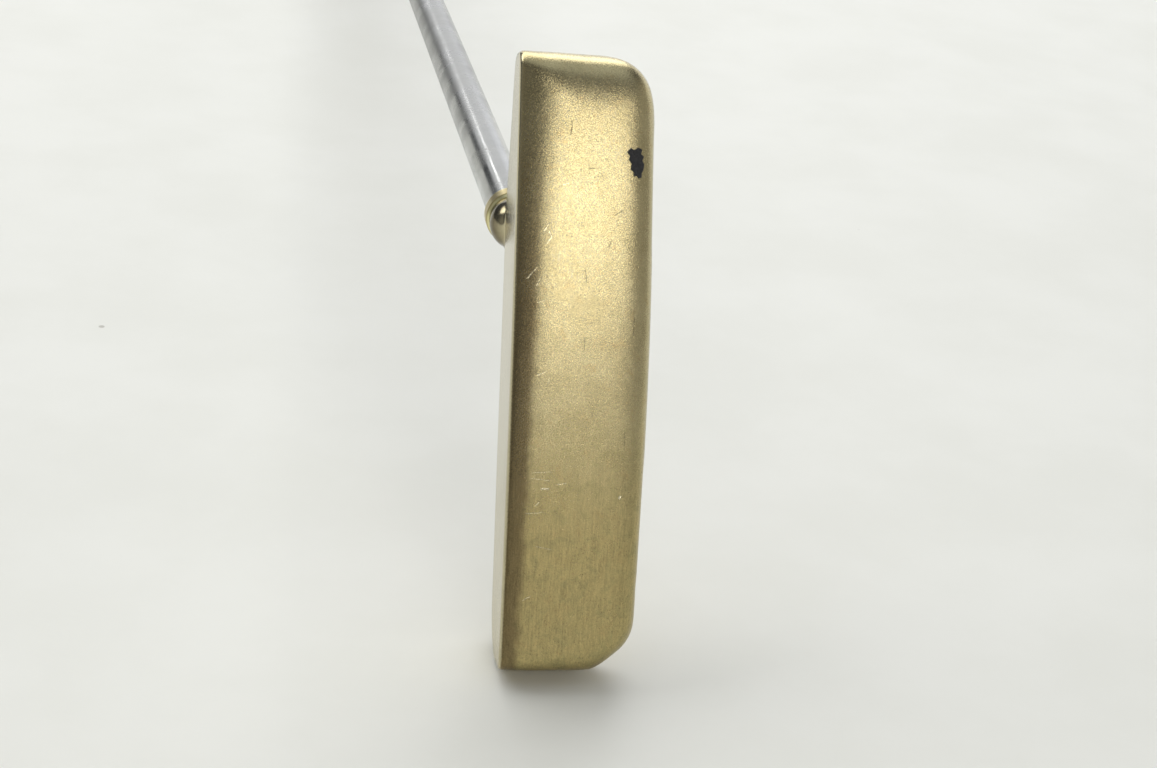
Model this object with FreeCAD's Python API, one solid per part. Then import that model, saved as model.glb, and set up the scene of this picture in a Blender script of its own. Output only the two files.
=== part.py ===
"""Blade putter: a bronze heel-and-toe weighted head on a stepped steel shaft with a rubber pistol grip.

Every piece is drawn in the club frame, as the club sits behind a ball: +X runs from toe to heel,
+Y from the face to the back of the head and +Z up from the ground. lay_down() then turns the
finished club onto its toe and the end of its grip, as it lies on a table, which is the frame of
the exported pieces: +X to the back of the head, +Y from the head to the grip and +Z up.
Lengths are millimetres and angles are degrees.
"""

import FreeCAD
import Part
import math
import os

from FreeCAD import Vector

# Head
HEAD_LENGTH = 122.8            # toe to heel
HEAD_DEPTH = 28.5              # face to back edge, on the centre line
HALF = HEAD_LENGTH / 2
SOLE_RISE = 3.5                # how much higher the sole is at toe and heel than at its middle
LOFT = 3.0
TOPLINE_HEIGHT = 24.8
TOPLINE_WIDTH = 6.0
HEEL_HEIGHT = 16.0             # where the sloping topline meets the heel end
NECK_SIDE = 32.0               # the topline starts to fall towards the heel here
TOE_RADIUS = 10.5              # corner of toe end and topline
TOE_LEAN = 1.2                 # the toe end leans in by this much from sole to topline
SOLE_EDGE_RADIUS = 3.8         # roll of the sole into the back and toe walls
HEEL_RELIEF_LENGTH = 12.0      # where the sole starts to curve up to the heel end
HEEL_RELIEF_RADIUS = 45.0
HEEL_ROLL_RADIUS = 5.5         # from the relief into the heel end
LEADING_ROLL_RADIUS = 27.0     # roll of the sole into the face
LEADING_ROLL_WIDTH = 7.6       # at the middle; it is wider towards the heel
TRAILING_ROLL_RADIUS = 25.0    # first, gentle part of the roll into the back wall
TRAILING_ROLL_WIDTH = 6.0
SOLE_TURN = 1.9                # the sole's curves are turned by this much in plan
SOLE_CROWN_RADIUS = 160.0      # face-to-back curve of the sole
SWEEP_RADIUS = (HALF**2 + SOLE_RISE**2) / (2 * SOLE_RISE)
HEEL_CUT_BITE = 0.03           # the relief starts this far inside the sole, so that the two surfaces cross
FLANGE_THICKNESS = 7.4
WEIGHT_LENGTH = 17.0           # toe and heel weights, measured in from each end
WEIGHT_FRONT_HEIGHT = 19.2     # their top surface, at the blade and at the back
WEIGHT_BACK_HEIGHT = 12.0
CAVITY_CORNER_RADIUS = 5.0
CAVITY_FLOOR_RADIUS = 2.2
BACK_EDGE_RADIUS, FACE_EDGE_RADIUS = 0.8, 0.6
SMALLEST_CREASE = 50.0
SIGHT_WIDTH, SIGHT_LENGTH, SIGHT_DEPTH = 1.0, 13.0, 0.5

# Shaft line, neck and collar: heights are measured along the shaft axis from the ground
LIE = 71.0                     # shaft to ground
AXIS_X, AXIS_Y = 17.4, 4.16    # where the axis meets the ground
NECK_BALL_AT, NECK_BALL_RADIUS = 31.3, 5.4
NECK_TOP_AT, NECK_TOP_RADIUS = 34.4, 5.1
COLLAR_LENGTH, COLLAR_RADIUS, COLLAR_BEVEL = 4.0, 5.7, 0.6
SPIGOT_RADIUS, SPIGOT_LENGTH = 4.03, 25.0
SPIGOT_CHAMFER = 0.6

# Shaft
CLUB_LENGTH = 889.0
TIP_RADIUS, BUTT_RADIUS = 4.7, 7.35
WALL = 0.55
FIRST_STEP_AT, STEP_SPACING, STEP_COUNT = 255.0, 36.0, 11
STEP_LENGTH = 1.4
TIP_EDGE = 0.25

# Grip
GRIP_LENGTH = 267.0
TAPE_THICKNESS, TAPE_SETBACK = 0.25, 1.5
CAP_THICKNESS, CAP_EDGE_RADIUS = 5.0, 2.2
VENT_RADIUS = 2.0
# From the mouth: distance, half width, flat side and round side from the axis, squareness
GRIP_SECTIONS = [
    (0.0, 9.3, 9.3, 9.3, 2.0),
    (12.0, 9.9, 9.5, 10.0, 2.3),
    (45.0, 10.9, 9.6, 11.4, 3.2),
    (95.0, 11.6, 9.7, 13.0, 4.0),
    (140.0, 12.0, 9.8, 14.2, 4.0),
    (175.0, 12.3, 9.9, 16.4, 4.0),
    (205.0, 12.7, 10.1, 19.6, 4.0),
    (235.0, 13.0, 10.4, 21.8, 4.0),
    (GRIP_LENGTH - CAP_THICKNESS, 13.1, 10.6, 22.0, 4.0),
]
SECTION_POINTS = 36

REST_PASSES = 5


def point_2d(plane, a, b):
    """A 3-D point from two coordinates in the plane 'xy', 'xz' or 'yz'."""
    if plane == "xy":
        return Vector(a, b, 0)
    if plane == "xz":
        return Vector(a, 0, b)
    return Vector(0, a, b)


def rounded_wire(plane, corners):
    """A closed wire through (a, b, radius) corners, each rounded by its radius."""
    count = len(corners)
    points = [point_2d(plane, a, b) for a, b, _ in corners]
    starts, ends, middles = [], [], []
    for i, (_, _, radius) in enumerate(corners):
        here = points[i]
        back = (points[i - 1] - here).normalize()
        ahead = (points[(i + 1) % count] - here).normalize()
        half_angle = back.getAngle(ahead) / 2
        reach = radius / math.tan(half_angle)
        bisector = (back + ahead).normalize()
        starts.append(here + back * reach)
        ends.append(here + ahead * reach)
        middles.append(here + bisector * (radius / math.sin(half_angle) - radius))
    edges = []
    for i in range(count):
        if corners[i][2] > 0:
            edges.append(Part.Arc(starts[i], middles[i], ends[i]).toShape())
        following = starts[(i + 1) % count]
        if (following - ends[i]).Length > 1e-6:
            edges.append(Part.LineSegment(ends[i], following).toShape())
    return Part.Wire(edges)


def prism(wire, direction):
    return Part.Face(wire).extrude(direction)


def along_shaft(distance, flatward=0.0, backward=0.0):
    """A point by its distance along the shaft axis and its offsets towards the grip's flat and the back."""
    lie = math.radians(LIE)
    return Vector(
        AXIS_X + distance * math.cos(lie) - flatward * math.sin(lie),
        AXIS_Y + backward,
        distance * math.sin(lie) + flatward * math.cos(lie),
    )


SHAFT_DIRECTION = Vector(math.cos(math.radians(LIE)), 0, math.sin(math.radians(LIE)))


def turned(profile):
    """A solid of revolution about the shaft axis from (distance, radius) points, closed on themselves."""
    points = [along_shaft(distance, radius) for distance, radius in profile]
    face = Part.Face(Part.makePolygon(points + points[:1]))
    return face.revolve(along_shaft(0), SHAFT_DIRECTION, 360)


def only_solid(shape):
    assert len(shape.Solids) == 1, "the piece is not a single solid"
    return shape.Solids[0]


def edges_where(shape, test):
    return [edge for edge in shape.Edges if test(edge.BoundBox)]


def crease(shape, edge):
    """The angle between the two faces that meet at the middle of an edge, 0 where they run on smoothly."""
    faces = shape.ancestorsOfType(edge, Part.Face)
    if len(faces) != 2:
        return 0.0
    middle = edge.valueAt((edge.FirstParameter + edge.LastParameter) / 2)
    normals = [face.normalAt(*face.Surface.parameter(middle)) for face in faces]
    return math.degrees(normals[0].getAngle(normals[1]))


def round_creases(shape, radius, test):
    edges = [edge for edge in edges_where(shape, test) if crease(shape, edge) > SMALLEST_CREASE]
    return only_solid(shape.makeFillet(radius, edges))


# ---------------------------------------------------------------- head

def plan_prism():
    """The head's outline seen from below, as a tall prism."""
    back_edge_ends = HEAD_DEPTH - 0.9
    wire = rounded_wire("xy", [
        (HALF, -4.0, 0),
        (HALF, back_edge_ends, 9.5),
        (0.0, HEAD_DEPTH + 0.1, 900.0),
        (-HALF + 6.6, back_edge_ends, 8.5),
        (-HALF, back_edge_ends - 8.2, 8.5),
        (-HALF, -4.0, 0),
    ])
    wire.translate(Vector(0, 0, -5))
    return prism(wire, Vector(0, 0, 60))


def face_view_prism():
    """The head's outline seen square to the face, as a prism through its depth."""
    wire = rounded_wire("xz", [
        (HALF, -5.0, 0),
        (HALF, HEEL_HEIGHT, 4.0),
        (NECK_SIDE, TOPLINE_HEIGHT, 25.0),
        (-20.0, TOPLINE_HEIGHT, 0),
        (-HALF + TOE_LEAN, TOPLINE_HEIGHT - 0.9, TOE_RADIUS),
        (-HALF - 0.3, -5.0, 0),
    ])
    wire.translate(Vector(0, -5, 0))
    return prism(wire, Vector(0, 60, 0))


def arc_points(centre, radius, first, last):
    """Start, middle and end of an arc below its centre, by turns from straight down, in a plane of 'along, up'."""
    turns = (first, (first + last) / 2, last)
    return [(centre[0] + radius * math.sin(turn), centre[1] - radius * math.cos(turn)) for turn in turns]


def sole_outline():
    """The sole from the face to the back: a leading roll, a gentle crown and a trailing roll."""
    crown_start, crown_end = LEADING_ROLL_WIDTH, HEAD_DEPTH - TRAILING_ROLL_WIDTH
    crown_centre = ((crown_start + crown_end) / 2, SOLE_CROWN_RADIUS)
    slope = math.asin((crown_end - crown_start) / 2 / SOLE_CROWN_RADIUS)

    def centre_on_crown(side, radius):
        reach = SOLE_CROWN_RADIUS - radius
        return crown_centre[0] + side * reach * math.sin(slope), crown_centre[1] - reach * math.cos(slope)

    leading = centre_on_crown(-1, LEADING_ROLL_RADIUS)
    trailing = centre_on_crown(1, TRAILING_ROLL_RADIUS)
    front_turn = -slope - math.asin((LEADING_ROLL_WIDTH + 3.5) / LEADING_ROLL_RADIUS)
    back_turn = slope + math.asin((TRAILING_ROLL_WIDTH + 3.0) / TRAILING_ROLL_RADIUS)
    return [
        arc_points(leading, LEADING_ROLL_RADIUS, front_turn, -slope),
        arc_points(crown_centre, SOLE_CROWN_RADIUS, -slope, slope),
        arc_points(trailing, TRAILING_ROLL_RADIUS, slope, back_turn),
    ]


def above_sole():
    """Everything above the sole: its face-to-back curve swept along the toe-to-heel curve."""
    top = 55.0
    arcs = [[Vector(0, along, up) for along, up in points] for points in sole_outline()]
    front, back = arcs[0][0], arcs[-1][-1]
    corners = [back, Vector(0, back.y, top), Vector(0, front.y, top), front]
    edges = [Part.Arc(*points).toShape() for points in arcs]
    edges += [Part.LineSegment(a, b).toShape() for a, b in zip(corners, corners[1:])]
    reach = math.degrees(math.asin(HALF / SWEEP_RADIUS)) + 1.0
    centre = Vector(0, 0, SWEEP_RADIUS)
    face = Part.Face(Part.Wire(edges))
    face.rotate(centre, Vector(0, 1, 0), -reach)
    swept = face.revolve(centre, Vector(0, 1, 0), 2 * reach)
    swept.rotate(Vector(0, 0, 0), Vector(0, 0, 1), SOLE_TURN)
    return swept


def cut_heel_roll():
    """What is removed below the heel: a gentle relief that runs into a tighter roll at the heel end."""
    start = HALF - HEEL_RELIEF_LENGTH
    slope = math.asin(start / SWEEP_RADIUS)
    on_sole = SWEEP_RADIUS * (1 - math.cos(slope)) + HEEL_CUT_BITE
    relief_centre = (
        start - HEEL_RELIEF_RADIUS * math.sin(slope),
        on_sole + HEEL_RELIEF_RADIUS * math.cos(slope),
    )
    reach = HEEL_RELIEF_RADIUS - HEEL_ROLL_RADIUS
    meeting = math.asin((HALF - HEEL_ROLL_RADIUS - relief_centre[0]) / reach)
    roll_centre = (
        relief_centre[0] + reach * math.sin(meeting),
        relief_centre[1] - reach * math.cos(meeting),
    )
    arcs = [
        arc_points(relief_centre, HEEL_RELIEF_RADIUS, slope, meeting),
        arc_points(roll_centre, HEEL_ROLL_RADIUS, meeting, math.pi / 2),
    ]
    arcs = [[Vector(along, -5, up) for along, up in points] for points in arcs]
    first, last = arcs[0][0], arcs[-1][-1]
    outside, under = HALF + 5.0, -5.0
    corners = [last, Vector(outside, -5, last.z), Vector(outside, -5, under), Vector(first.x, -5, under), first]
    edges = [Part.Arc(*points).toShape() for points in arcs]
    edges += [Part.LineSegment(a, b).toShape() for a, b in zip(corners, corners[1:])]
    return prism(Part.Wire(edges), Vector(0, 60, 0))


def behind_face():
    """Everything behind the lofted face."""
    tall, wide = 60.0, 80.0
    box = Part.makeBox(2 * wide, 60, 2 * tall, Vector(-wide, 0, -tall))
    box.rotate(Vector(0, 0, 0), Vector(1, 0, 0), -LOFT)
    return box


def back_of_blade(height):
    return TOPLINE_WIDTH + height * math.tan(math.radians(LOFT))


def cut_above_weights():
    """What is removed behind the blade, above the sloping tops of the toe and heel weights."""
    front = back_of_blade(TOPLINE_HEIGHT)
    wire = rounded_wire("yz", [
        (front, WEIGHT_FRONT_HEIGHT, 2.0),
        (front, 50.0, 0),
        (45.0, 50.0, 0),
        (45.0, WEIGHT_BACK_HEIGHT - 4.0, 0),
        (HEAD_DEPTH, WEIGHT_BACK_HEIGHT, 0),
    ])
    wire.translate(Vector(-80, 0, 0))
    return prism(wire, Vector(160, 0, 0))


def cut_cavity():
    """What is removed above the flange, between the weights."""
    half = HALF - WEIGHT_LENGTH
    front = back_of_blade(TOPLINE_HEIGHT)
    wire = rounded_wire("xy", [
        (half, front, CAVITY_CORNER_RADIUS),
        (half + 3.5, 45.0, 0),
        (-half - 3.5, 45.0, 0),
        (-half, front, CAVITY_CORNER_RADIUS),
    ])
    wire.translate(Vector(0, 0, FLANGE_THICKNESS))
    tool = prism(wire, Vector(0, 0, 50))
    floor_edges = edges_where(tool, lambda b: b.ZMax < FLANGE_THICKNESS + 0.01 and b.YMin < 44.0)
    return tool.makeFillet(CAVITY_FLOOR_RADIUS, floor_edges)


def sight_groove():
    return Part.makeBox(
        SIGHT_WIDTH, SIGHT_LENGTH, SIGHT_DEPTH,
        Vector(-SIGHT_WIDTH / 2, HEAD_DEPTH - 2.5 - SIGHT_LENGTH, FLANGE_THICKNESS - SIGHT_DEPTH),
    )


def neck():
    """The ball-ended neck with the spigot that goes up inside the shaft."""
    spigot_end = NECK_TOP_AT + COLLAR_LENGTH + SPIGOT_LENGTH
    post = turned([
        (NECK_BALL_AT, 0),
        (NECK_BALL_AT, NECK_BALL_RADIUS),
        (NECK_TOP_AT, NECK_TOP_RADIUS),
        (NECK_TOP_AT, SPIGOT_RADIUS),
        (spigot_end - SPIGOT_CHAMFER, SPIGOT_RADIUS),
        (spigot_end, SPIGOT_RADIUS - SPIGOT_CHAMFER),
        (spigot_end, 0),
    ])
    ball = Part.makeSphere(NECK_BALL_RADIUS, along_shaft(NECK_BALL_AT))
    root = Part.makeLoft([
        root_section(TOPLINE_HEIGHT - 3.0, 12.5, 2.6),
        root_section(TOPLINE_HEIGHT + 0.4, 9.6, 2.5),
        root_section(TOPLINE_HEIGHT + 2.6, 6.4, 3.4),
        root_section(TOPLINE_HEIGHT + 4.8, 5.0, 4.6),
    ], True)
    return post.fuse([ball, root])


def root_section(height, half_length, half_width):
    """An ellipse round the shaft axis at a height, where the neck grows out of the topline."""
    centre_x = AXIS_X + height / math.tan(math.radians(LIE))
    ellipse = Part.Ellipse(
        Vector(centre_x + half_length, AXIS_Y, height),
        Vector(centre_x, AXIS_Y + half_width, height),
        Vector(centre_x, AXIS_Y, height),
    )
    return Part.Wire(ellipse.toShape())


def head_casting():
    block = plan_prism().common(above_sole())
    sole_edges = edges_where(block, lambda b: b.ZMax < 8.0 and b.YMax > 0.0 and b.YMin > -4.5
                             and (b.XMax > HALF - 0.01 or b.XMin < -HALF + 0.01 or b.YMin > 15.0)
                             and b.ZMax - b.ZMin < 5.0)
    block = block.makeFillet(SOLE_EDGE_RADIUS, sole_edges)
    block = block.common(face_view_prism()).common(behind_face())
    block = only_solid(block.cut(cut_above_weights()).cut(cut_cavity()).removeSplitter())
    low_rim, topline = 17.0, 20.0
    block = round_creases(block, BACK_EDGE_RADIUS,
                          lambda b: b.YMin > TOPLINE_WIDTH and b.ZMax > FLANGE_THICKNESS - 0.1
                          and (b.ZMax < low_rim or b.ZMin > topline))
    block = round_creases(block, FACE_EDGE_RADIUS,
                          lambda b: b.YMax < TOPLINE_WIDTH / 4 and b.ZMax > 2 * SOLE_RISE)
    block = only_solid(block.cut(cut_heel_roll()))
    return only_solid(block.fuse(neck()).cut(sight_groove()).removeSplitter())


def collar():
    """The ring between the top of the neck and the end of the shaft."""
    low, high = NECK_TOP_AT, NECK_TOP_AT + COLLAR_LENGTH
    return turned([
        (low, SPIGOT_RADIUS),
        (low, COLLAR_RADIUS - COLLAR_BEVEL),
        (low + COLLAR_BEVEL, COLLAR_RADIUS),
        (high - COLLAR_BEVEL / 2, COLLAR_RADIUS),
        (high, COLLAR_RADIUS - COLLAR_BEVEL / 2),
        (high, SPIGOT_RADIUS),
    ])


# ---------------------------------------------------------------- shaft and grip

SHAFT_START = NECK_TOP_AT + COLLAR_LENGTH
SHAFT_END = CLUB_LENGTH - CAP_THICKNESS
GRIP_START = CLUB_LENGTH - GRIP_LENGTH


def shaft():
    """The stepped tube, open at both ends."""
    rise = (BUTT_RADIUS - TIP_RADIUS) / STEP_COUNT
    outer = [(SHAFT_START, TIP_RADIUS - TIP_EDGE), (SHAFT_START + TIP_EDGE, TIP_RADIUS)]
    for step in range(STEP_COUNT):
        at = FIRST_STEP_AT + STEP_SPACING * step
        outer += [(at, TIP_RADIUS + rise * step), (at + STEP_LENGTH, TIP_RADIUS + rise * (step + 1))]
    outer.append((SHAFT_END, BUTT_RADIUS))
    inner = [(at, radius - WALL) for at, radius in outer[2:]]
    inner.insert(0, (SHAFT_START, TIP_RADIUS - WALL))
    return turned(outer + inner[::-1])


def shaft_bond():
    """The epoxy between the spigot and the inside of the shaft."""
    return turned([
        (SHAFT_START, SPIGOT_RADIUS),
        (SHAFT_START, TIP_RADIUS - WALL),
        (SHAFT_START + SPIGOT_LENGTH - SPIGOT_CHAMFER, TIP_RADIUS - WALL),
        (SHAFT_START + SPIGOT_LENGTH - SPIGOT_CHAMFER, SPIGOT_RADIUS),
    ])


def grip_tape():
    """The tape wound on the shaft under the grip."""
    return turned([
        (GRIP_START + TAPE_SETBACK, BUTT_RADIUS),
        (GRIP_START + TAPE_SETBACK, BUTT_RADIUS + TAPE_THICKNESS),
        (SHAFT_END, BUTT_RADIUS + TAPE_THICKNESS),
        (SHAFT_END, BUTT_RADIUS),
    ])


def grip_outline(distance, half_width, flat_side, round_side, squareness):
    """A closed outline across the grip: a superellipse towards the flat and an ellipse behind."""
    points = []
    for i in range(SECTION_POINTS):
        angle = 2 * math.pi * i / SECTION_POINTS
        along, across = math.cos(angle), math.sin(angle)
        power = 2 / squareness if along > 0 else 1.0
        reach = flat_side if along > 0 else round_side
        flatward = math.copysign(abs(along) ** power, along) * reach
        sideways = math.copysign(abs(across) ** power, across) * half_width
        points.append(along_shaft(distance, flatward, sideways))
    curve = Part.BSplineCurve()
    curve.interpolate(points, PeriodicFlag=True)
    return Part.Wire(curve.toShape())


def grip_blank():
    """The outside of the grip from its mouth to its cap."""
    outlines = [grip_outline(GRIP_START + at, *sizes) for at, *sizes in GRIP_SECTIONS]
    return Part.makeLoft(outlines, True)


def grip():
    """The rubber sleeve, open at its mouth and closed by the cap."""
    bore = BUTT_RADIUS + TAPE_THICKNESS
    return only_solid(grip_blank().cut(turned([
        (GRIP_START - 1.0, 0),
        (GRIP_START - 1.0, bore),
        (CLUB_LENGTH, bore),
        (CLUB_LENGTH, 0),
    ])))


def grip_cap():
    """The end cap, with its rim rounded and a vent hole through it."""
    start = CLUB_LENGTH - CAP_THICKNESS
    outline = grip_outline(start, *GRIP_SECTIONS[-1][1:])
    cap = prism(outline, SHAFT_DIRECTION * CAP_THICKNESS)
    outer = max(cap.Faces, key=lambda face: face.CenterOfMass.dot(SHAFT_DIRECTION))
    cap = cap.makeFillet(CAP_EDGE_RADIUS, outer.Edges)
    vent = Part.makeCylinder(VENT_RADIUS, 2 * CAP_THICKNESS, along_shaft(start - 1.0), SHAFT_DIRECTION)
    return only_solid(cap.cut(vent))


# ---------------------------------------------------------------- lying on a table

def tilted(shape, angle):
    """The shape toe down, with the ground line of the head standing at the angle from upright."""
    laid = shape.copy()
    laid.rotate(Vector(0, 0, 0), Vector(0, 1, 0), -90)
    laid.rotate(Vector(0, 0, 0), Vector(0, 0, 1), -90)
    laid.rotate(Vector(0, 0, 0), Vector(1, 0, 0), -angle)
    return laid


def tight_box(shape):
    return shape.optimalBoundingBox(False, False)


def lay_down(pieces):
    """The pieces turned until toe and cap both rest on the table, with the origin below their middle."""
    angle = 90.0 - LIE
    for _ in range(REST_PASSES):
        head_box = tight_box(tilted(pieces["head"], angle))
        cap_box = tight_box(tilted(pieces["grip_cap"], angle))
        angle += math.degrees(math.atan2(cap_box.ZMin - head_box.ZMin, cap_box.YMax - head_box.YMin))
    laid = {name: tilted(piece, angle) for name, piece in pieces.items()}
    boxes = [tight_box(piece) for piece in laid.values()]
    shift = Vector(
        -(min(b.XMin for b in boxes) + max(b.XMax for b in boxes)) / 2,
        -(min(b.YMin for b in boxes) + max(b.YMax for b in boxes)) / 2,
        -min(b.ZMin for b in boxes),
    )
    for piece in laid.values():
        piece.translate(shift)
    return laid, angle, shift


if __name__ == "__main__":
    os.makedirs("parts", exist_ok=True)
    pieces = {
        "head": head_casting(),
        "collar": collar(),
        "shaft": shaft(),
        "shaft_bond": shaft_bond(),
        "grip_tape": grip_tape(),
        "grip": grip(),
        "grip_cap": grip_cap(),
    }
    laid, angle, shift = lay_down(pieces)
    for name, piece in laid.items():
        piece.exportStep(f"parts/{name}.step")
        print(name, piece.isValid(), round(piece.Volume), piece.CenterOfMass)
    print("lying at", round(angle, 4), "degrees, moved by", shift)
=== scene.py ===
"""Blade putter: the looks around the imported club, which lies on a table on its toe and its grip.

The club frame is the club as it sits behind a ball: heelward, backward and upward from the middle of
the sole's front edge, in millimetres. The scene itself is in metres, with the club lying down.
"""

import math
import random

import bpy
import numpy as np
from mathutils import Matrix, Vector


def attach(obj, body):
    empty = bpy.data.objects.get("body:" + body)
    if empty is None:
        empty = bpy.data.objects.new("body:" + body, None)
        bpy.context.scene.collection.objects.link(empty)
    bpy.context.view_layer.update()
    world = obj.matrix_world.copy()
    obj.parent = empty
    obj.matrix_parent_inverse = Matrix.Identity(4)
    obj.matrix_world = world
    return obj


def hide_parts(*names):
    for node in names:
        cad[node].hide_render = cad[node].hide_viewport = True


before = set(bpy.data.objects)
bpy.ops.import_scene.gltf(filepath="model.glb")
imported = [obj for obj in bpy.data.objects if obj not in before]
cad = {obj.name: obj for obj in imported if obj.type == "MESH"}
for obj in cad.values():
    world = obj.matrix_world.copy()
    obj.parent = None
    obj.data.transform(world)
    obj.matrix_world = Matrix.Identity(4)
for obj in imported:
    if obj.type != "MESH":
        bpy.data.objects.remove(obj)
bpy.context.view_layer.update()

MM = 0.001

# How the club lies: its upright leans by this much, and the middle of its sole's front edge is here.
REST_TILT = math.radians(23.3559)
CLUB_ORIGIN = Vector((-0.009752696, -0.437246909, 0.062004274))
HEELWARD = Vector((0, math.sin(REST_TILT), math.cos(REST_TILT)))
BACKWARD = Vector((1, 0, 0))
UPWARD = Vector((0, math.cos(REST_TILT), -math.sin(REST_TILT)))
LAID = Matrix((HEELWARD, BACKWARD, UPWARD)).transposed()

# The shaft line and the grip, as in the CAD
LIE = math.radians(71)
AXIS_HEEL, AXIS_BACK = 17.4, 4.16
COLLAR_MIDDLE = 36.4
LOFT = math.radians(3)
CLUB_LENGTH, GRIP_LENGTH, CAP_THICKNESS, CAP_EDGE = 889.0, 267.0, 5.0, 2.2
GRIP_START = CLUB_LENGTH - GRIP_LENGTH
GRIP_BORE, VENT_RADIUS = 7.6, 2.0
UNDER_SOLE = -20.0      # a height safely under the sole, where rays start


def placed(heel, back, up):
    """A point of the club frame, in millimetres, as it lies in the scene."""
    return CLUB_ORIGIN + LAID @ Vector((heel, back, up)) * MM


def along_shaft(distance, flatward, sideways):
    """A point beside the shaft line: its distance up it, then towards the grip's flat and to the back."""
    return placed(
        AXIS_HEEL + distance * math.cos(LIE) - flatward * math.sin(LIE),
        AXIS_BACK + sideways,
        distance * math.sin(LIE) + flatward * math.cos(LIE),
    )


# ------------------------------------------------------------------ finishes

# A Mix node's sockets share their names between its types; these are the places of its colours.
COLOUR_A, COLOUR_B, COLOUR_RESULT = 6, 7, 2


class Value:
    """A socket with a number or a vector in it. Arithmetic on it adds Math nodes."""

    def __init__(self, finish, socket):
        self.finish, self.socket = finish, socket

    def math(self, operation, *terms):
        sockets = dict(enumerate(terms))
        return self.finish.node("ShaderNodeMath", {"operation": operation}, sockets)

    def __add__(self, other): return self.math("ADD", self, other)
    def __radd__(self, other): return self.math("ADD", other, self)
    def __sub__(self, other): return self.math("SUBTRACT", self, other)
    def __rsub__(self, other): return self.math("SUBTRACT", other, self)
    def __mul__(self, other): return self.math("MULTIPLY", self, other)
    def __rmul__(self, other): return self.math("MULTIPLY", other, self)
    def __truediv__(self, other): return self.math("DIVIDE", self, other)
    def __rtruediv__(self, other): return self.math("DIVIDE", other, self)
    def __abs__(self): return self.math("ABSOLUTE", self)

    def at_most(self, other): return self.math("MINIMUM", self, other)

    def rise(self, low, high):
        """0 below low and 1 above high, smooth between them; it falls where high is under low."""
        sockets = {"Value": self, "From Min": low, "From Max": high}
        return self.finish.node("ShaderNodeMapRange", {"interpolation_type": "SMOOTHSTEP"}, sockets)

    def spread(self, low, high):
        """A value from 0 to 1 turned into one from low to high."""
        return self * (high - low) + low


class Finish:
    """A material being made."""

    def __init__(self, name):
        self.material = bpy.data.materials.new(name)
        self.material.use_nodes = True
        self.tree = self.material.node_tree
        self.shader = self.tree.nodes["Principled BSDF"]

    def node(self, kind, settings=None, sockets=None, output=0):
        """Adds a node: its settings first, then the values or links of its sockets, by name or place."""
        made = self.tree.nodes.new(kind)
        for name, value in (settings or {}).items():
            setattr(made, name, value)
        for key, value in (sockets or {}).items():
            self.feed(made.inputs[key], value)
        return Value(self, made.outputs[output])

    def feed(self, socket, value):
        if isinstance(value, Value):
            self.tree.links.new(value.socket, socket)
        else:
            socket.default_value = value

    def surface(self, **sockets):
        for name, value in sockets.items():
            self.feed(self.shader.inputs[name.replace("_", " ")], value)
        return self.material

    def vector(self, operation, first, second, output=0):
        return self.node("ShaderNodeVectorMath", {"operation": operation}, {0: first, 1: second}, output)

    def club_place(self):
        """Where a point of the surface is in the club frame: a vector and its parts, in millimetres."""
        place = self.node("ShaderNodeTexCoord", output="Object")
        place = self.vector("SUBTRACT", place, CLUB_ORIGIN)
        axes = (HEELWARD, BACKWARD, UPWARD)
        parts = [self.vector("DOT_PRODUCT", place, axis / MM, "Value") for axis in axes]
        return self.stack(*parts), *parts

    def shaft_place(self):
        """Where a point is about the shaft line: the vector of distance along, flatward and sideways."""
        _, heel, back, up = self.club_place()
        heel, back = heel - AXIS_HEEL, back - AXIS_BACK
        along = heel * math.cos(LIE) + up * math.sin(LIE)
        flatward = up * math.cos(LIE) - heel * math.sin(LIE)
        return self.stack(along, flatward, back), along, flatward, back

    def stack(self, x, y, z):
        return self.node("ShaderNodeCombineXYZ", sockets={"X": x, "Y": y, "Z": z})

    def stretched(self, place, factors):
        return self.vector("MULTIPLY", place, factors)

    def noise(self, place, scale, detail=2.0, roughness=0.5, distortion=0.0):
        sockets = {"Vector": place, "Scale": scale, "Detail": detail, "Roughness": roughness,
                   "Distortion": distortion}
        return self.node("ShaderNodeTexNoise", sockets=sockets)

    def fibres(self, place, turn, length, width, detail=2.0):
        """Noise drawn out into fibres of a length and a width, turned from the heelward line."""
        rotation, scale = (0, 0, math.radians(turn)), (length, width, width)
        sockets = {"Vector": place, "Rotation": rotation, "Scale": scale}
        drawn_out = self.node("ShaderNodeMapping", {"vector_type": "TEXTURE"}, sockets)
        return self.noise(drawn_out, 1.0, detail, 0.6)

    def cells(self, place, scale, feature="F1"):
        sockets = {"Vector": place, "Scale": scale}
        return self.node("ShaderNodeTexVoronoi", {"feature": feature}, sockets)

    def mix(self, amount, first, second, kind="MIX"):
        """Two colours mixed: all first at 0 and all second at 1."""
        return self.node("ShaderNodeMix", {"data_type": "RGBA", "blend_type": kind},
                         {0: amount, COLOUR_A: first, COLOUR_B: second}, output=COLOUR_RESULT)

    def grey(self, value):
        return self.node("ShaderNodeCombineColor", sockets={"Red": value, "Green": value, "Blue": value})

    def shaded(self, base, value):
        """A colour made darker or lighter by a value around 1."""
        return self.mix(1.0, base, self.grey(value), "MULTIPLY")

    def bump(self, height, depth, strength):
        """A normal from a height of 0 to 1 that stands for a depth in millimetres."""
        sockets = {"Height": height, "Distance": depth * MM, "Strength": strength}
        return self.node("ShaderNodeBump", sockets=sockets)


def colour(red, green, blue):
    return (red, green, blue, 1.0)


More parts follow.
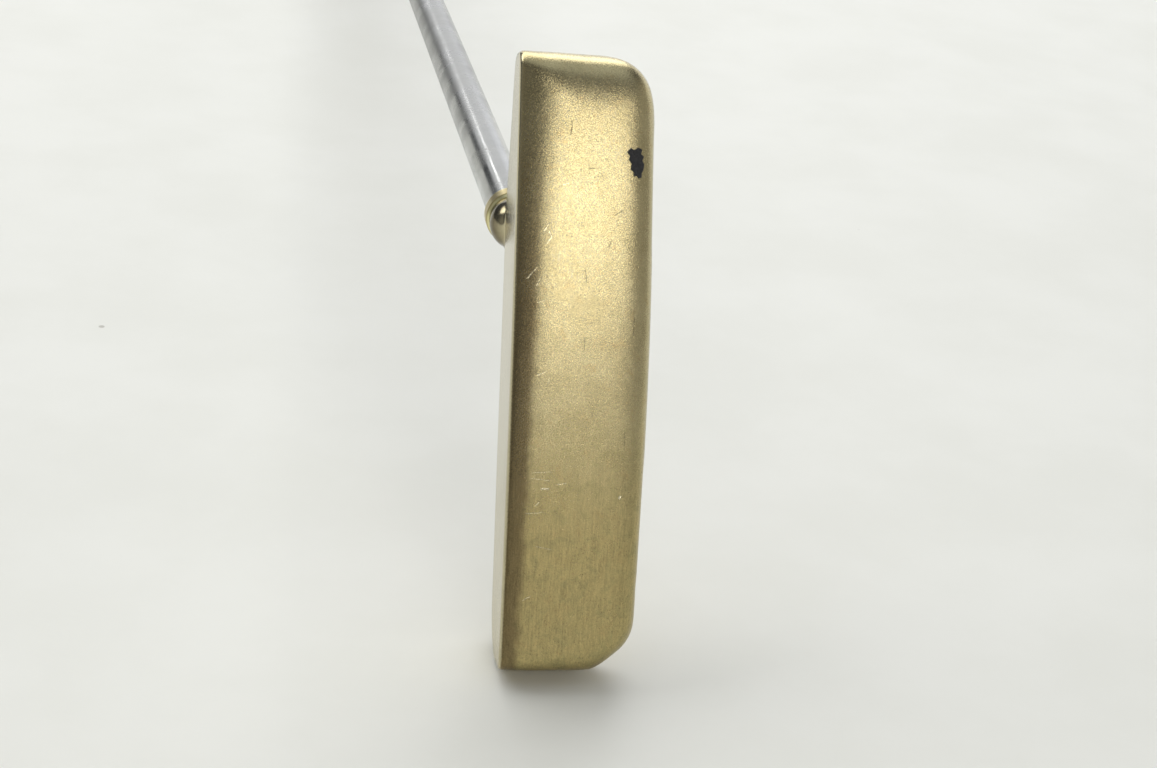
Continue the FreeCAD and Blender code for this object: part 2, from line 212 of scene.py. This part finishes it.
def scratch(finish, heel, back, at_heel, at_back, length, turn, width, wobble):
    """1 inside a thin straight scratch on the sole and 0 outside: its turn is from the heelward line."""
    cosine, sine = math.cos(math.radians(turn)), math.sin(math.radians(turn))
    heel, back = heel - at_heel, back - at_back
    down_it = heel * cosine + back * sine
    across = back * cosine - heel * sine + wobble
    inside = abs(across).rise(width / 2, width / 5)
    return inside * abs(down_it).rise(length / 2, length / 3)


# Turn from the heelward line, length and width of the strokes that rubbing leaves
RUBBED_STROKES = [(8, 2.2, 0.17), (64, 1.8, 0.16), (-42, 2.0, 0.16)]

# On the sole: heelward, backward, length, turn from the heelward line, width
BRIGHT_NICKS = [
    (-24.1, 7.6, 1.9, 88, 0.42), (-25.6, 22.6, 0.8, 20, 0.55), (-20.9, 6.9, 4.4, 86, 0.14),
    (-22.3, 6.6, 4.4, 94, 0.13), (-23.1, 10.9, 2.2, 82, 0.15), (-29.0, 5.7, 3.8, 84, 0.15),
    (-35.9, 7.8, 3.6, 102, 0.13), (26.8, 6.0, 2.6, 28, 0.20), (25.6, 6.8, 1.6, -34, 0.18),
    (24.4, 6.6, 2.2, 40, 0.20), (18.0, 3.6, 3.6, 42, 0.18), (16.2, 4.8, 2.0, 28, 0.16),
    (-1.5, 6.1, 2.4, 64, 0.18), (-3.0, 7.4, 1.4, 12, 0.16), (12.4, 5.4, 1.8, 70, 0.15),
    (-46.0, 5.0, 2.0, 60, 0.14), (35.4, 9.5, 1.6, 70, 0.16), (-27.2, 6.2, 1.2, 50, 0.22),
]
DARK_SCRATCHES = [
    (46.4, 10.4, 3.0, 4, 0.20), (17.8, 14.0, 2.8, -6, 0.17), (4.4, 14.2, 3.2, 3, 0.17),
    (30.2, 20.2, 2.2, 60, 0.20), (24.0, 18.6, 1.8, 20, 0.18), (-9.0, 16.4, 2.4, 8, 0.14),
    (8.2, 24.0, 4.5, 2, 0.15), (-14.0, 23.0, 3.5, -3, 0.14), (38.6, 14.5, 1.4, 80, 0.16),
]


def sole_marks(finish, marks, heel, back, wobble):
    """1 inside any of the listed scratches and 0 outside."""
    return sum(scratch(finish, heel, back, *mark, wobble) for mark in marks)


def bronze():
    """Worn cast bronze: a sparkling grain of fine scratches, patina in patches, marks on the sole, and
    painted shade and light.
    """
    finish = Finish("bronze")
    place, heel, back, up = finish.club_place()
    toe_end = heel.rise(0.0, -40.0)
    on_sole = up.rise(9.0, 5.0)
    on_neck = up.rise(24.5, 28.0)
    in_cavity = up.rise(7.0, 7.9) * back.rise(7.4, 9.0) * abs(heel).rise(47.0, 44.5)
    on_face = (back - up * math.tan(LOFT)).rise(0.7, 0.3) * up.rise(1.0, 2.0)

    grain = finish.noise(place, 2.8, 4.0, 0.75)
    fine_grain = finish.noise(place, 5.5, 2.0, 0.6)
    rubbed = sum(finish.fibres(place, *strokes) for strokes in RUBBED_STROKES) / len(RUBBED_STROKES)
    brushed = finish.fibres(place, 1, 6.0, 0.34, 3.0)
    clouds = finish.noise(place, 0.10, 4.0, 0.6)
    wander = finish.noise(place, 0.22, 3.0, 0.6)
    stains = finish.noise(place, 0.36, 5.0, 0.65, 0.7)
    pitted = finish.noise(place, 0.23, 3.0).rise(0.50, 0.70)
    pits = finish.cells(place, 1.15).rise(0.20, 0.08) * pitted
    wobble = (finish.noise(place, 1.4, 1.0) - 0.5) * 0.35
    bright = (sole_marks(finish, BRIGHT_NICKS, heel, back, wobble) * on_sole).at_most(1.0)
    dark = (sole_marks(finish, DARK_SCRATCHES, heel, back, wobble) * on_sole).at_most(1.0)

    # the worn metal: golden, and paler and whiter in the heel half as painted light for the whitened
    # highlight there; more olive and stained towards the toe
    metal = finish.mix(clouds.rise(0.35, 0.65), colour(0.47, 0.400, 0.215), colour(0.53, 0.455, 0.255))
    metal = finish.mix(toe_end, metal, colour(0.465, 0.380, 0.170))
    olive = stains.rise(0.46, 0.70) * toe_end.spread(0.2, 0.75)
    metal = finish.mix(olive, metal, colour(0.350, 0.305, 0.140))
    metal = finish.mix(stains.rise(0.46, 0.30) * 0.45, metal, colour(0.43, 0.32, 0.14))
    # painted shade: a dark brown band along the sole's front edge, for the dark reflection of its rolled
    # edge
    painted_leading_shade = on_sole * (back - heel * 0.014 + (wander - 0.5) * 2.2).rise(5.4, 3.4)
    painted_leading_shade = painted_leading_shade * heel.rise(58.0, 8.0).spread(0.1, 0.8)
    metal = finish.mix(painted_leading_shade, metal, colour(0.17, 0.125, 0.06))
    # painted reflection: the face made paler, for the bright reflection it shows
    metal = finish.mix(on_face * 0.8, metal, colour(0.60, 0.54, 0.36))
    # grain, brushing, pits and single marks
    speckle = (grain - 0.5) * 1.2 + (fine_grain - 0.5) * 1.0 + (rubbed - 0.5) * 1.6
    speckle = speckle + (brushed - 0.5) * toe_end.spread(0.3, 2.2) + (grain - 0.5) * toe_end * 1.2
    metal = finish.shaded(metal, 1.0 + speckle * 0.38)
    metal = finish.mix(pits * toe_end.spread(0.12, 0.45), metal, colour(0.15, 0.12, 0.06))
    metal = finish.mix(bright * 0.8, metal, colour(0.96, 0.88, 0.62))
    metal = finish.mix(dark * 0.7, metal, colour(0.09, 0.07, 0.035))
    # painted shade: the neck made dark brown; and patina in the cavity, where no hand reaches
    painted_neck_shade = (on_neck * stains.spread(0.75, 1.1)).at_most(1.0)
    metal = finish.mix(painted_neck_shade, metal, colour(0.12, 0.095, 0.05))
    metal = finish.mix(in_cavity * clouds.spread(0.5, 0.9), metal, colour(0.19, 0.145, 0.07))

    rough = 0.26 + (grain - 0.5) * 0.26 + (clouds - 0.5) * 0.12 + toe_end * 0.05 + pits * 0.15
    rough = rough + in_cavity * 0.12 - bright * 0.12 - on_face * 0.10
    height = grain * 0.5 + fine_grain * toe_end.spread(0.25, 0.6) + rubbed * 0.4
    height = height + brushed * toe_end * 0.6 - pits * 0.35
    height = (height - bright - dark) * (1.0 - on_face * 0.75)
    return finish.surface(
        Base_Color=metal,
        Metallic=1.0,
        Roughness=rough,
        Coat_Weight=0.20,
        Coat_Roughness=0.40,
        Normal=finish.bump(height, 0.075, 0.85),
    )


def collar_brass():
    """The collar: turned brass, browned in the middle, with a painted highlight along its edges."""
    finish = Finish("collar_brass")
    place, along, _, _ = finish.shaft_place()
    rings = finish.noise(finish.stretched(place, (7.0, 0.3, 0.3)), 1.0, 2.0, 0.5)
    clouds = finish.noise(place, 0.5, 3.0, 0.6)
    # painted highlight: the collar's edges made pale and bright
    painted_edge_highlight = abs(along - COLLAR_MIDDLE).rise(1.35, 1.75)
    metal = finish.mix(clouds.rise(0.3, 0.7), colour(0.40, 0.32, 0.13), colour(0.50, 0.41, 0.18))
    metal = finish.mix(painted_edge_highlight, metal, colour(0.80, 0.74, 0.42))
    return finish.surface(
        Base_Color=metal,
        Metallic=1.0,
        Roughness=rings.spread(0.22, 0.38),
        Normal=finish.bump(rings, 0.01, 0.5),
    )


def shaft_chrome():
    """Chrome plate with a haze of handling marks that comes and goes along it, fine pits, a painted dark
    band down one side and painted shade further up.
    """
    finish = Finish("shaft_chrome")
    place, along, flatward, sideways = finish.shaft_place()
    haze = finish.noise(finish.stretched(place, (0.12, 0.3, 0.3)), 1.0, 4.0, 0.6)
    worn = finish.noise(finish.stretched(place, (0.08, 0.05, 0.05)), 1.0, 3.0, 0.6)
    spots = finish.noise(place, 0.9, 3.0, 0.6)
    pits = finish.cells(place, 0.8).rise(0.10, 0.04)
    polish = finish.noise(finish.stretched(place, (6.0, 0.6, 0.6)), 1.0, 2.0, 0.5)
    plate = finish.mix(haze.rise(0.3, 0.7), colour(0.50, 0.505, 0.50), colour(0.44, 0.445, 0.445))
    plate = finish.mix(pits * 0.6, plate, colour(0.22, 0.20, 0.17))
    # painted shade: a dark band down one side of the shaft, for the dark reflection it shows
    painted_dark_band = flatward.rise(-0.2, -1.7) * sideways.rise(1.5, 0.0)
    plate = finish.mix(painted_dark_band * 0.5, plate, colour(0.26, 0.26, 0.23))
    # painted shade: the plate greyer further up the shaft, more on one side
    upper = along.rise(50.0, 150.0)
    painted_upper_shade = upper * flatward.rise(-2.0, 3.0).spread(0.55, 0.9)
    plate = finish.mix(painted_upper_shade, plate, colour(0.29, 0.29, 0.285))
    rough = 0.10 + worn.rise(0.35, 0.65) * 0.14 + spots.rise(0.5, 0.8) * 0.06 + polish * 0.04
    rough = rough + upper * 0.12
    return finish.surface(
        Base_Color=plate,
        Metallic=1.0,
        Roughness=rough,
        Normal=finish.bump(polish * 0.6 + spots * 0.4, 0.006, 0.5),
    )


def rubber(name, tone, roughness):
    """Moulded rubber, a little dusty and polished where hands hold it."""
    finish = Finish(name)
    place = finish.shaft_place()[0]
    skin = finish.noise(place, 3.0, 3.0, 0.6)
    wear = finish.noise(place, 0.05, 3.0, 0.6)
    dust = finish.noise(place, 0.5, 4.0, 0.65)
    fresh, worn = colour(tone * 0.8, tone * 0.8, tone * 0.85), colour(tone * 1.5, tone * 1.5, tone * 1.45)
    base = finish.mix(wear.rise(0.35, 0.7), fresh, worn)
    base = finish.mix(dust.rise(0.55, 0.8) * 0.2, base, colour(0.14, 0.135, 0.12))
    return finish.surface(
        Base_Color=base,
        Roughness=roughness + (skin - 0.5) * 0.2 - wear.rise(0.4, 0.75) * 0.12,
        Normal=finish.bump(skin, 0.05, 0.6),
    )


def epoxy():
    """The hardened bond: cloudy, pale yellow."""
    finish = Finish("epoxy")
    place = finish.shaft_place()[0]
    clouds = finish.noise(place, 0.6, 3.0, 0.6)
    return finish.surface(
        Base_Color=finish.mix(clouds, colour(0.62, 0.55, 0.38), colour(0.72, 0.66, 0.50)),
        Roughness=clouds.spread(0.25, 0.45),
        Normal=finish.bump(clouds, 0.03, 0.5),
    )


def grip_tape():
    """Creped paper tape."""
    finish = Finish("grip_tape")
    place = finish.shaft_place()[0]
    crepe = finish.noise(finish.stretched(place, (2.5, 0.8, 0.8)), 1.0, 3.0, 0.6)
    return finish.surface(
        Base_Color=finish.mix(crepe, colour(0.66, 0.58, 0.42), colour(0.80, 0.74, 0.60)),
        Roughness=crepe.spread(0.7, 0.9),
        Normal=finish.bump(crepe, 0.08, 0.7),
    )


def black_paint():
    """Dry black paint with a wrinkled skin."""
    finish = Finish("black_paint")
    place = finish.club_place()[0]
    skin = finish.noise(place, 2.2, 4.0, 0.65)
    black, dusty = colour(0.012, 0.012, 0.014), colour(0.04, 0.04, 0.042)
    return finish.surface(
        Base_Color=finish.mix(skin.rise(0.4, 0.75), black, dusty),
        Roughness=skin.spread(0.45, 0.75),
        Normal=finish.bump(skin, 0.08, 0.8),
    )


def table_top():
    """Pale coated board with a faint pebbled skin, a few specks and a slight waviness."""
    finish = Finish("table_top")
    place = finish.vector("MULTIPLY", finish.node("ShaderNodeTexCoord", output="Object"), (1 / MM,) * 3)
    pebble = finish.cells(place, 0.55, "SMOOTH_F1")
    skin = finish.noise(place, 0.9, 3.0, 0.6)
    mottle = finish.noise(place, 0.02, 4.0, 0.55)
    specked = finish.noise(place, 0.011, 1.0).rise(0.5, 0.62)
    speck = finish.cells(place, 0.022).rise(0.022, 0.012) * specked
    board = finish.mix(mottle.rise(0.3, 0.7), colour(0.790, 0.790, 0.735), colour(0.825, 0.825, 0.775))
    board = finish.mix(speck * 0.6, board, colour(0.30, 0.27, 0.22))
    return finish.surface(
        Base_Color=board,
        Roughness=skin.spread(0.42, 0.6),
        Normal=finish.bump(pebble * 0.5 + skin * 0.5, 0.10, 0.35),
    )


# ------------------------------------------------------------------ pieces

def mesh_object(name, points, faces, material, smooth=True):
    mesh = bpy.data.meshes.new(name)
    mesh.from_pydata([tuple(point) for point in points], [], faces)
    mesh.validate()
    mesh.update()
    if smooth:
        mesh.shade_smooth()
    mesh.materials.append(material)
    piece = bpy.data.objects.new(name, mesh)
    bpy.context.collection.objects.link(piece)
    return piece


def ringed(name, rings, material):
    """A closed body from rings of points that run round a hole: the last ring joins the first."""
    count = len(rings[0])
    points = [point for ring in rings for point in ring]
    faces = []
    for r in range(len(rings)):
        here, ahead = r * count, (r + 1) % len(rings) * count
        for i in range(count):
            j = (i + 1) % count
            faces.append((here + i, here + j, ahead + j, ahead + i))
    return mesh_object(name, points, faces, material)


HEAD_GRAIN = 0.42       # side of the even mesh that the head's surface is rebuilt from, in millimetres
EASING_PASSES = 80
LEAST_EASING, MORE_EASING = 0.03, 0.9
# Where polishing has softened the head: from where there is none to where it is full, in millimetres
BACK_ROLL = (6.8, 5.2)          # upward, along the back of the sole
HEEL_ROLL = (12.5, 10.0)        # upward, round the heel end
HEEL_END = (49.0, 54.0)         # heelward
TOWARDS_TOE = (-45.0, -5.0)     # heelward, along the back: from half softened to full
OFF_FACE = (0.7, 3.0)           # from the face
BEHIND_LEADING_ROLL = (8.5, 13.0)       # backward; in front of it the edge stays crisper
CRISP_EASING = 0.2              # the share of the easing that this edge still gets


def ramp(value, low, high):
    return np.clip((value - low) / (high - low), 0.0, 1.0)


def even_head():
    """A copy of the CAD head's surface as an even mesh."""
    body = cad["head"].copy()
    body.data = body.data.copy()
    bpy.context.collection.objects.link(body)
    even = body.modifiers.new("even", "REMESH")
    even.mode, even.voxel_size = "VOXEL", HEAD_GRAIN * MM
    evaluated = body.evaluated_get(bpy.context.evaluated_depsgraph_get())
    mesh = bpy.data.meshes.new_from_object(evaluated)
    bpy.data.objects.remove(body)
    return mesh


def head_easing(places):
    """How far each point of the head moves towards its neighbours in a pass, from 0 to 1."""
    heel, back, up = ((places - np.array(CLUB_ORIGIN)) @ np.array(LAID) / MM).T
    below_back = ramp(up, *BACK_ROLL) * (0.5 + 0.5 * ramp(heel, *TOWARDS_TOE))
    below_heel = ramp(up, *HEEL_ROLL) * ramp(heel, *HEEL_END)
    crispness = CRISP_EASING + (1 - CRISP_EASING) * ramp(back, *BEHIND_LEADING_ROLL)
    behind_edge = ramp(back - up * math.tan(LOFT), *OFF_FACE) * crispness
    return LEAST_EASING + MORE_EASING * np.maximum(below_back, below_heel) * behind_edge


def softened_casting(material):
    """The head as hand polishing leaves it: its sole runs softly into the back and the heel."""
    mesh = even_head()
    count = len(mesh.vertices)
    places = np.empty(count * 3)
    mesh.vertices.foreach_get("co", places)
    places = places.reshape(-1, 3)
    ends = np.empty(len(mesh.edges) * 2, dtype=np.int32)
    mesh.edges.foreach_get("vertices", ends)
    first, second = ends.reshape(-1, 2).T
    neighbours = np.bincount(ends, minlength=count)[:, None]

    def neighbour_total(values):
        """For each point, the sum of a value over the points that it shares an edge with."""
        return np.bincount(first, values[second], count) + np.bincount(second, values[first], count)

    easing = head_easing(places)[:, None]
    for _ in range(EASING_PASSES):
        total = np.stack([neighbour_total(places[:, axis]) for axis in range(3)], axis=1)
        places += easing * (total / neighbours - places)
    mesh.vertices.foreach_set("co", places.ravel())
    mesh.update()
    mesh.shade_smooth()
    mesh.materials.clear()
    mesh.materials.append(material)
    casting = bpy.data.objects.new("softened_casting", mesh)
    bpy.context.collection.objects.link(casting)
    return casting


GRIP_END = GRIP_LENGTH - CAP_THICKNESS
# Along the grip from its mouth: distance, half width, flat side, round side, squareness of the flat
GRIP_SECTIONS = [
    (0.0, 9.3, 9.3, 9.3, 2.0),
    (12.0, 9.9, 9.5, 10.0, 2.3),
    (45.0, 10.9, 9.6, 11.4, 3.2),
    (95.0, 11.6, 9.7, 13.0, 4.0),
    (140.0, 12.0, 9.8, 14.2, 4.0),
    (175.0, 12.3, 9.9, 16.4, 4.0),
    (205.0, 12.7, 10.1, 19.6, 4.0),
    (235.0, 13.0, 10.4, 21.8, 4.0),
    (GRIP_END, 13.1, 10.6, 22.0, 4.0),
]
GRIP_RING = 168
# The moulded pattern: it fades out over a short stretch at both ends
PATTERN_START, PATTERN_END, PATTERN_FADE = 16.0, GRIP_END - 14.0, 3.0
FLAT_HALF_ANGLE = 1.02
GROOVE_SIDEWAYS, GROOVE_HALF_WIDTH, GROOVE_DEPTH = 7.0, 0.45, 0.55
RIB_PITCH, RIB_HALF_LENGTH, RIB_DEPTH = 3.2, 6.1, 0.35
DIAMOND_PITCH, DIAMOND_TURNS, DIAMOND_DEPTH, DIAMOND_LINE = 6.4, 11.0, 0.45, 0.18


def grip_sizes(at):
    """The grip's section at a distance from its mouth, eased between the listed ones."""
    for low, high in zip(GRIP_SECTIONS, GRIP_SECTIONS[1:]):
        if at <= high[0]:
            break
    share = (at - low[0]) / (high[0] - low[0])
    share = min(max(share, 0.0), 1.0)
    return [a + (b - a) * share for a, b in zip(low[1:], high[1:])]


def smooth_grip_sizes(at, reach=9.0):
    """The section averaged over a short stretch, so that the grip's line has no kinks."""
    spots = [at + share * reach for share in (-1.0, -0.5, 0.0, 0.5, 1.0)]
    near = [grip_sizes(min(max(spot, 0.0), GRIP_END)) for spot in spots]
    return [sum(column) / len(near) for column in zip(*near)]


def section_point(angle, half_width, flat_side, round_side, squareness):
    """Flatward and sideways reach of a section at an angle from the middle of its flat."""
    along, across = math.cos(angle), math.sin(angle)
    power = 2 / squareness if along > 0 else 1.0
    reach = flat_side if along > 0 else round_side
    flatward = math.copysign(abs(along) ** power, along) * reach
    sideways = math.copysign(abs(across) ** power, across) * half_width
    return flatward, sideways


def moulding(at, angle, sideways):
    """How deep the moulded pattern is at a place on the grip, in millimetres."""
    from_ends = min(at - PATTERN_START, PATTERN_END - at)
    inside = min(max(from_ends / PATTERN_FADE, 0.0), 1.0)
    around = (angle + math.pi) % (2 * math.pi) - math.pi
    if abs(around) < FLAT_HALF_ANGLE:
        # two fine lengthwise grooves and short cross ribs between them on the flat
        groove = max(0.0, 1.0 - abs(abs(sideways) - GROOVE_SIDEWAYS) / GROOVE_HALF_WIDTH)
        if abs(sideways) > RIB_HALF_LENGTH:
            return inside * GROOVE_DEPTH * groove
        rib = max(0.0, math.sin(at * 2 * math.pi / RIB_PITCH)) ** 2
        return inside * (GROOVE_DEPTH * groove + RIB_DEPTH * rib)
    # small diamonds round the sides and the back
    turns = around * DIAMOND_TURNS
    first = math.sin(at * 2 * math.pi / DIAMOND_PITCH + turns)
    second = math.sin(at * 2 * math.pi / DIAMOND_PITCH - turns)
    line = max(0.0, max(first, second) - (1 - DIAMOND_LINE)) / DIAMOND_LINE
    return inside * DIAMOND_DEPTH * line


def grip_ring(at, sizes, inset_at):
    """A ring of the grip's outside at a distance from its mouth, sunk in by an inset at each angle."""
    return [along_shaft(GRIP_START + at, *shrunk(a, sizes, inset_at(a))) for a in ring_angles()]


def grip_sleeve(material):
    """The moulded grip, its pattern sunk into it, with a rounded mouth and the bore inside."""
    lip, lip_steps, steps = 1.6, 6, 420
    rings = []
    for k in range(lip_steps):
        turn = math.pi / 2 * k / lip_steps
        at, inset = lip * (1 - math.cos(turn)), lip * (1 - math.sin(turn))
        rings.append(grip_ring(at, smooth_grip_sizes(at), lambda angle: inset))
    for k in range(steps + 1):
        at = lip + (GRIP_END - lip) * k / steps
        sizes = smooth_grip_sizes(at)
        rings.append(grip_ring(at, sizes, lambda a: moulding(at, a, section_point(a, *sizes)[1])))
    bore = [(GRIP_BORE * math.cos(a), GRIP_BORE * math.sin(a)) for a in ring_angles()]
    for at in (GRIP_END, GRIP_END / 2, 0.0):
        rings.append([along_shaft(GRIP_START + at, *point) for point in bore])
    return ringed("grip_sleeve", rings, material)


def ring_angles():
    return [2 * math.pi * i / GRIP_RING for i in range(GRIP_RING)]


def shrunk(angle, sizes, inset):
    """A section's point moved straight in towards the middle by an inset."""
    flatward, sideways = section_point(angle, *sizes)
    reach = math.hypot(flatward, sideways)
    share = (reach - inset) / reach
    return flatward * share, sideways * share


# Across the cap's face: share of the way from the rim to the vent hole, depth
CAP_FACE = [
    (0.15, 0.0), (0.30, 0.0), (0.34, 0.5), (0.42, 0.5), (0.46, 0.0), (0.75, 0.0), (0.97, 0.0), (1.0, 0.4),
    (1.0, CAP_THICKNESS),
]
CAP_SEAM, CAP_SEAM_LENGTH, CAP_EDGE_STEPS = 0.25, 0.3, 8


def cap_side():
    """Along the cap's side: distance from its seam with the grip, inset."""
    edge_start = CAP_THICKNESS - CAP_EDGE
    profile = [(0.0, CAP_SEAM), (CAP_SEAM_LENGTH, 0.0), (edge_start, 0.0)]
    for k in range(1, CAP_EDGE_STEPS + 1):
        turn = math.pi / 2 * k / CAP_EDGE_STEPS
        profile.append((edge_start + CAP_EDGE * math.sin(turn), CAP_EDGE * (1 - math.cos(turn))))
    return profile


def grip_end(material):
    """The end cap: a rounded rim, a shallow ring groove in its face and the vent hole."""
    sizes = GRIP_SECTIONS[-1][1:]
    start = CLUB_LENGTH - CAP_THICKNESS
    rings = [
        [along_shaft(start + at, *shrunk(a, sizes, inset)) for a in ring_angles()]
        for at, inset in cap_side()
    ]
    # from the rim to the vent hole the rings turn from the grip's outline into circles
    for share, depth in CAP_FACE:
        ring = []
        for a in ring_angles():
            outer = shrunk(a, sizes, CAP_EDGE)
            inner = (VENT_RADIUS * math.cos(a), VENT_RADIUS * math.sin(a))
            flatward, sideways = (o + (i - o) * share for o, i in zip(outer, inner))
            ring.append(along_shaft(CLUB_LENGTH - depth, flatward, sideways))
        rings.append(ring)
    return ringed("grip_end", rings, material)


def sole_height(casting, heel, back):
    """The sole's height over the ground at a place."""
    upwards = LAID @ Vector((0, 0, 1))
    start = placed(heel, back, UNDER_SOLE)
    hit, point, _, _ = casting.ray_cast(start, upwards)
    assert hit, "no sole above this place"
    return (point - start).length / MM + UNDER_SOLE


# The fleck's torn outline on the sole: heelward, backward
FLECK_OUTLINE = [
    (42.2, 21.5), (43.0, 22.3), (42.6, 22.9), (43.1, 23.8), (42.8, 24.6), (41.9, 24.4), (41.4, 25.0),
    (40.6, 24.7), (39.9, 25.1), (38.9, 25.0), (38.1, 24.6), (37.3, 24.6), (37.1, 24.0), (37.6, 23.5),
    (37.4, 23.0), (38.3, 22.9), (38.9, 22.3), (39.9, 22.5), (40.6, 21.9), (41.4, 22.1),
]
# Its rings, from the one sunk into the sole to the crumpled ones on top: share of the outline, thickness
FLECK_RINGS = [(1.0, -0.02), (1.0, 0.10), (0.93, 0.19), (0.6, 0.15), (0.25, 0.20)]
FLECK_MIDDLE, CRUMPLED_FROM, CRUMPLE = 0.17, 0.12, 0.04


def paint_fleck(material, casting):
    """A torn fleck of black paint stuck on the sole near the heel."""
    middle = [sum(c) / len(FLECK_OUTLINE) for c in zip(*FLECK_OUTLINE)]
    crumpling = random.Random(7)
    points = []
    for share, thickness in FLECK_RINGS:
        for corner in FLECK_OUTLINE:
            heel, back = (m + (c - m) * share for m, c in zip(middle, corner))
            crumple = crumpling.uniform(-CRUMPLE, CRUMPLE) if thickness > CRUMPLED_FROM else 0.0
            points.append(placed(heel, back, sole_height(casting, heel, back) - (thickness + crumple)))
    points.append(placed(*middle, sole_height(casting, *middle) - FLECK_MIDDLE))
    count = len(FLECK_OUTLINE)
    faces = []
    for ring in range(len(FLECK_RINGS) - 1):
        here, ahead = ring * count, (ring + 1) * count
        for i in range(count):
            j = (i + 1) % count
            faces.append((here + i, here + j, ahead + j, ahead + i))
    top = (len(FLECK_RINGS) - 1) * count
    faces += [(top + i, top + (i + 1) % count, len(points) - 1) for i in range(count)]
    faces.append(tuple(range(count))[::-1])
    return mesh_object("paint_fleck", points, faces, material, smooth=False)


# ------------------------------------------------------------------ the club

finishes = {
    "head": bronze(),
    "collar": collar_brass(),
    "shaft": shaft_chrome(),
    "shaft_bond": epoxy(),
    "grip_tape": grip_tape(),
    "grip": rubber("grip_rubber", 0.022, 0.62),
    "grip_cap": rubber("cap_rubber", 0.016, 0.50),
}
for node, material in finishes.items():
    cad[node].data.materials.clear()
    cad[node].data.materials.append(material)

casting = softened_casting(finishes["head"])
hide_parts("head")
sleeve = grip_sleeve(finishes["grip"])
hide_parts("grip")
end = grip_end(finishes["grip_cap"])
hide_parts("grip_cap")
fleck = paint_fleck(black_paint(), casting)
for piece in (casting, sleeve, end, fleck):
    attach(piece, "root")

# ------------------------------------------------------------------ table, light and camera

TABLE_HALF = 3.0
corners = [(x * TABLE_HALF, y * TABLE_HALF, 0) for x, y in ((-1, -1), (1, -1), (1, 1), (-1, 1))]
table = mesh_object("table", corners, [(0, 1, 2, 3)], table_top(), smooth=False)

world = bpy.data.worlds.new("studio")
bpy.context.scene.world = world
world.use_nodes = True
background = world.node_tree.nodes["Background"]
background.inputs["Color"].default_value = colour(0.93, 0.96, 1.0)
background.inputs["Strength"].default_value = 0.12


PANEL_DISTANCE = 2.4
# Panels round the head: name, heading from -Y towards +X, height, spread across and up, all in degrees,
# then radiance and tint
PANELS = [
    ("window", 9, 33, (22, 9), 7.7, (1.0, 0.97, 0.93)),
    ("window_wall", 6, 19, (46, 17), 0.60, (1.0, 0.97, 0.92)),
    ("window_sill", 6, 5, (60, 10), 0.42, (1.0, 0.96, 0.88)),
    ("side_wall", 66, 22, (68, 50), 0.31, (1.0, 0.97, 0.90)),
    ("left_wall", -64, 20, (56, 40), 0.15, (1.0, 0.97, 0.88)),
    ("far_wall", 147, 16, (92, 34), 0.95, (0.97, 0.98, 1.0)),
    ("far_strip", 187.5, 16.5, (2, 8), 5.0, (1.0, 1.0, 1.0)),
    ("skylight", 204, 50, (80, 36), 2.95, (0.99, 0.99, 0.98)),
    ("ceiling", 0, 88, (50, 44), 0.60, (0.88, 0.94, 1.0)),
]


def soft_light(name, heading, height, spread, radiance, tint):
    """A panel that faces the head and gives soft light."""
    heading, height = math.radians(heading), math.radians(height)
    direction = Vector((
        math.sin(heading) * math.cos(height),
        -math.cos(heading) * math.cos(height),
        math.sin(height),
    ))
    light = bpy.data.lights.new(name, "AREA")
    light.shape = "RECTANGLE"
    width, depth = (2 * PANEL_DISTANCE * math.tan(math.radians(angle) / 2) for angle in spread)
    light.size, light.size_y = width, depth
    light.energy = radiance * math.pi * width * depth
    light.color = tint
    panel = bpy.data.objects.new(name, light)
    panel.location = CLUB_ORIGIN + direction * PANEL_DISTANCE
    panel.rotation_euler = direction.to_track_quat("Z", "Y").to_euler()
    bpy.context.collection.objects.link(panel)


for panel in PANELS:
    soft_light(*panel)

# The camera looks at the sole from in front of it. Its place and axes are in the club frame.
CAMERA_PLACE = (22.78, -61.98, -411.71)
PICTURE_RIGHT = Vector((0.03886, 0.98338, -0.17737))
PICTURE_UP = Vector((0.99730, -0.02709, 0.06830))
PICTURE_WIDTH, FOCAL_LENGTH = 1157, 2150        # in the same unit
SENSOR = 36.0

camera_data = bpy.data.cameras.new("camera")
camera_data.sensor_width = SENSOR
camera_data.lens = SENSOR * FOCAL_LENGTH / PICTURE_WIDTH
camera = bpy.data.objects.new("camera", camera_data)
axes = [LAID @ axis for axis in (PICTURE_RIGHT, PICTURE_UP, PICTURE_RIGHT.cross(PICTURE_UP))]
camera.matrix_world = Matrix.Translation(placed(*CAMERA_PLACE)) @ Matrix(axes).transposed().to_4x4()
bpy.context.collection.objects.link(camera)
bpy.context.scene.camera = camera
bpy.context.scene.view_settings.view_transform = "Standard"
